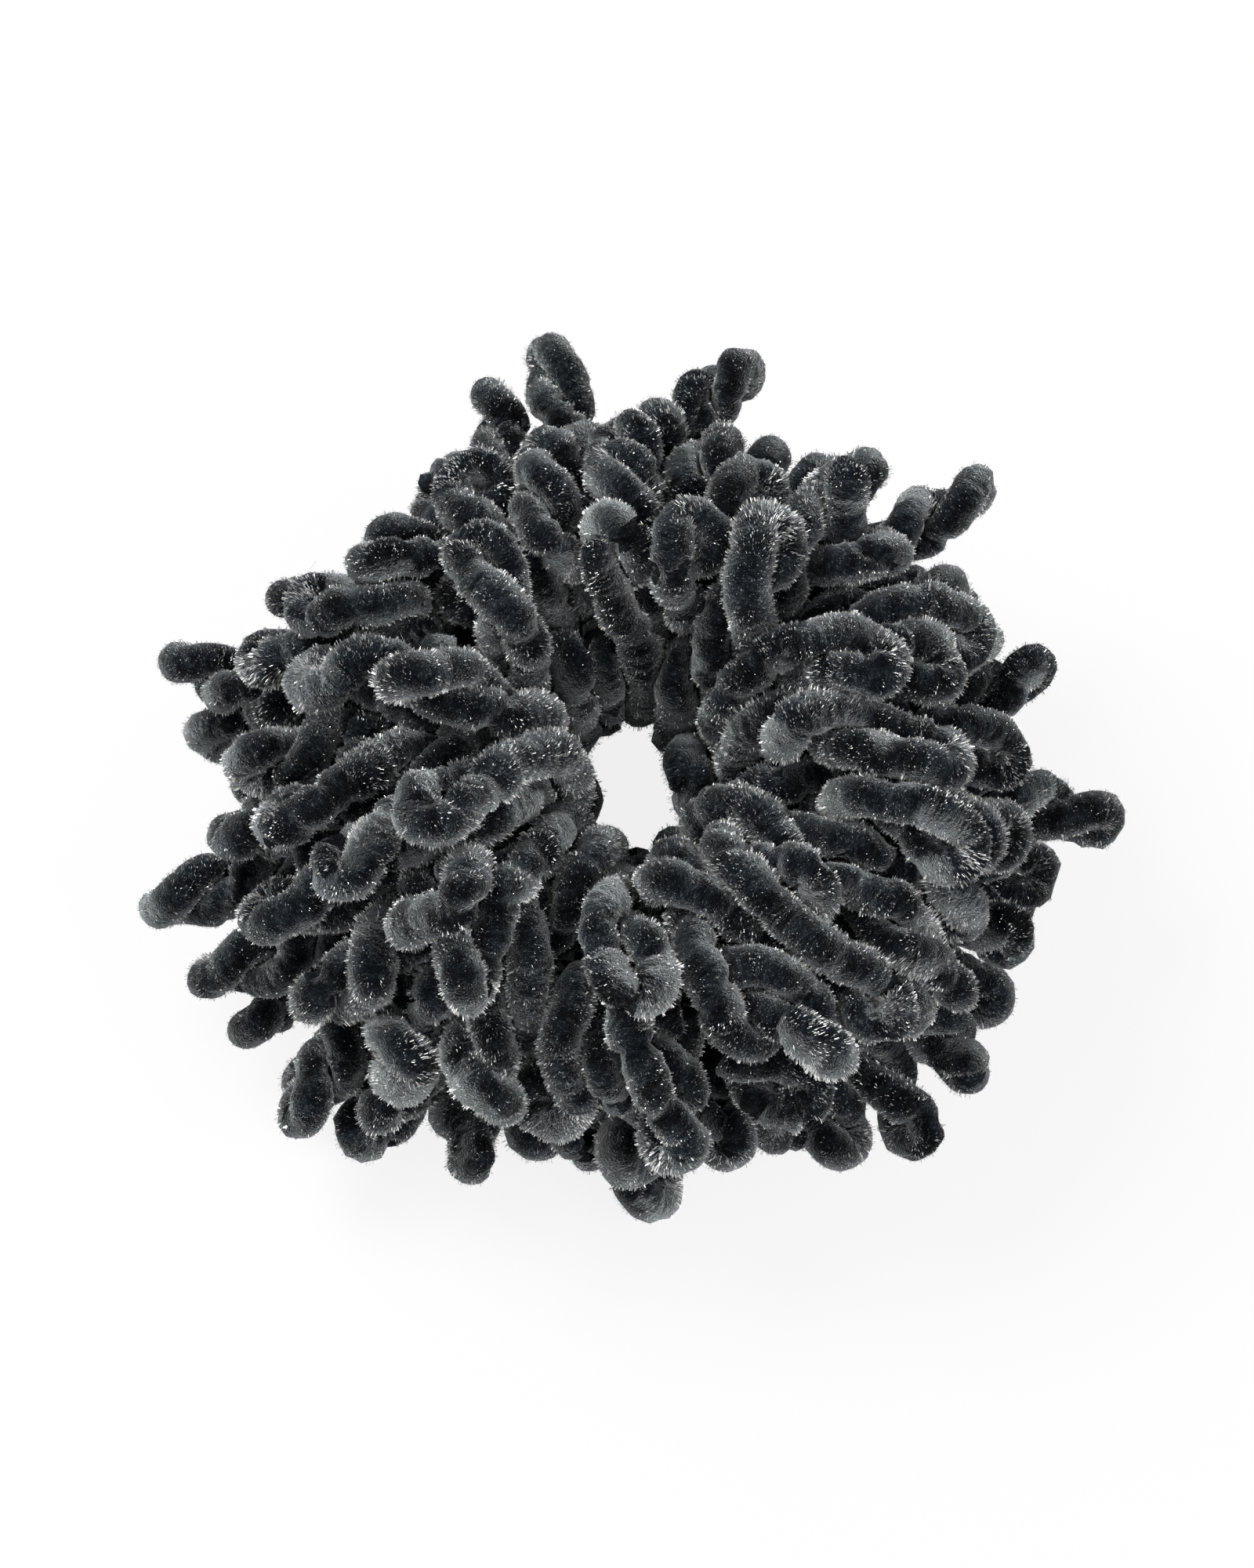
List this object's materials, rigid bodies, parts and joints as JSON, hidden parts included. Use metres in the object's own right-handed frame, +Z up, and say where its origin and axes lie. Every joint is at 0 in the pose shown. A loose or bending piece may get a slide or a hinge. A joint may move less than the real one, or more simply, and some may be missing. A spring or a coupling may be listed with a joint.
{
  "type": "scrunchie",
  "caption": "Full, fluffy hair scrunchie of looped velvet chenille yarn stitched round a stretchy hair elastic, with an open centre.",
  "frame": {"origin": "middle of the part's box, on the surface it rests on", "axes": "+Z up through the centre hole, the side with the lowest front loops faces -Y"},
  "size_m": [0.1463, 0.1362, 0.0639],
  "materials": {
    "yarn": "matte",
    "elastic_rubber": "matte",
    "elastic_braid": "matte",
    "sleeve": "matte"
  },
  "bodies": {
    "segment_1": {"elastic_core": "elastic_rubber", "elastic_cover": "elastic_braid", "segment_1_stitches": "yarn", "segment_1_crown_loops": "yarn", "segment_1_upper_loops": "yarn", "segment_1_outer_loops": "yarn", "segment_1_lower_loops": "yarn", "segment_1_under_loops": "yarn", "segment_1_inner_loops": "yarn"},
    "segment_2": {"segment_2_stitches": "yarn", "segment_2_crown_loops": "yarn", "segment_2_upper_loops": "yarn", "segment_2_outer_loops": "yarn", "segment_2_lower_loops": "yarn", "segment_2_under_loops": "yarn", "segment_2_inner_loops": "yarn"},
    "segment_3": {"segment_3_stitches": "yarn", "segment_3_crown_loops": "yarn", "segment_3_upper_loops": "yarn", "segment_3_outer_loops": "yarn", "segment_3_lower_loops": "yarn", "segment_3_under_loops": "yarn", "segment_3_inner_loops": "yarn"},
    "segment_4": {"segment_4_stitches": "yarn", "segment_4_crown_loops": "yarn", "segment_4_upper_loops": "yarn", "segment_4_outer_loops": "yarn", "segment_4_lower_loops": "yarn", "segment_4_under_loops": "yarn", "segment_4_inner_loops": "yarn"},
    "segment_5": {"segment_5_stitches": "yarn", "segment_5_crown_loops": "yarn", "segment_5_upper_loops": "yarn", "segment_5_outer_loops": "yarn", "segment_5_lower_loops": "yarn", "segment_5_under_loops": "yarn", "segment_5_inner_loops": "yarn"},
    "segment_6": {"segment_6_stitches": "yarn", "segment_6_crown_loops": "yarn", "segment_6_upper_loops": "yarn", "segment_6_outer_loops": "yarn", "segment_6_lower_loops": "yarn", "segment_6_under_loops": "yarn", "segment_6_inner_loops": "yarn"},
    "segment_7": {"segment_7_stitches": "yarn", "segment_7_crown_loops": "yarn", "segment_7_upper_loops": "yarn", "segment_7_outer_loops": "yarn", "segment_7_lower_loops": "yarn", "segment_7_under_loops": "yarn", "segment_7_inner_loops": "yarn"},
    "segment_8": {"segment_8_stitches": "yarn", "segment_8_crown_loops": "yarn", "segment_8_upper_loops": "yarn", "segment_8_outer_loops": "yarn", "segment_8_lower_loops": "yarn", "segment_8_under_loops": "yarn", "segment_8_inner_loops": "yarn"},
    "closing_seam": {"joining_sleeve": "sleeve"}
  },
  "joints": [
    {"name": "stretch_1_2", "type": "slide", "parent": "segment_1", "child": "segment_2", "axis": [0.9239, 0.3827, 0], "range_m": [0, 0.012], "stiffness_N_per_m": 570, "deforming": ["elastic_core", "elastic_cover"]},
    {"name": "stretch_2_3", "type": "slide", "parent": "segment_2", "child": "segment_3", "axis": [0.3827, 0.9239, 0], "range_m": [0, 0.012], "stiffness_N_per_m": 570},
    {"name": "stretch_3_4", "type": "slide", "parent": "segment_3", "child": "segment_4", "axis": [-0.3827, 0.9239, 0], "range_m": [0, 0.012], "stiffness_N_per_m": 570},
    {"name": "stretch_4_5", "type": "slide", "parent": "segment_4", "child": "segment_5", "axis": [-0.9239, 0.3827, 0], "range_m": [0, 0.012], "stiffness_N_per_m": 570},
    {"name": "stretch_5_6", "type": "slide", "parent": "segment_5", "child": "segment_6", "axis": [-0.9239, -0.3827, 0], "range_m": [0, 0.012], "stiffness_N_per_m": 570},
    {"name": "stretch_6_7", "type": "slide", "parent": "segment_6", "child": "segment_7", "axis": [-0.3827, -0.9239, 0], "range_m": [0, 0.012], "stiffness_N_per_m": 570},
    {"name": "stretch_7_8", "type": "slide", "parent": "segment_7", "child": "segment_8", "axis": [0.3827, -0.9239, 0], "range_m": [0, 0.012], "stiffness_N_per_m": 570},
    {"name": "stretch_8_seam", "type": "slide", "parent": "segment_8", "child": "closing_seam", "axis": [0.9239, -0.3827, 0], "range_m": [0, 0.012]}
  ],
  "couplings": [
    {"joint": "stretch_2_3", "follows": "stretch_1_2", "ratio": 1},
    {"joint": "stretch_3_4", "follows": "stretch_1_2", "ratio": 1},
    {"joint": "stretch_4_5", "follows": "stretch_1_2", "ratio": 1},
    {"joint": "stretch_5_6", "follows": "stretch_1_2", "ratio": 1},
    {"joint": "stretch_6_7", "follows": "stretch_1_2", "ratio": 1},
    {"joint": "stretch_7_8", "follows": "stretch_1_2", "ratio": 1},
    {"joint": "stretch_8_seam", "follows": "stretch_1_2", "ratio": 1}
  ]
}
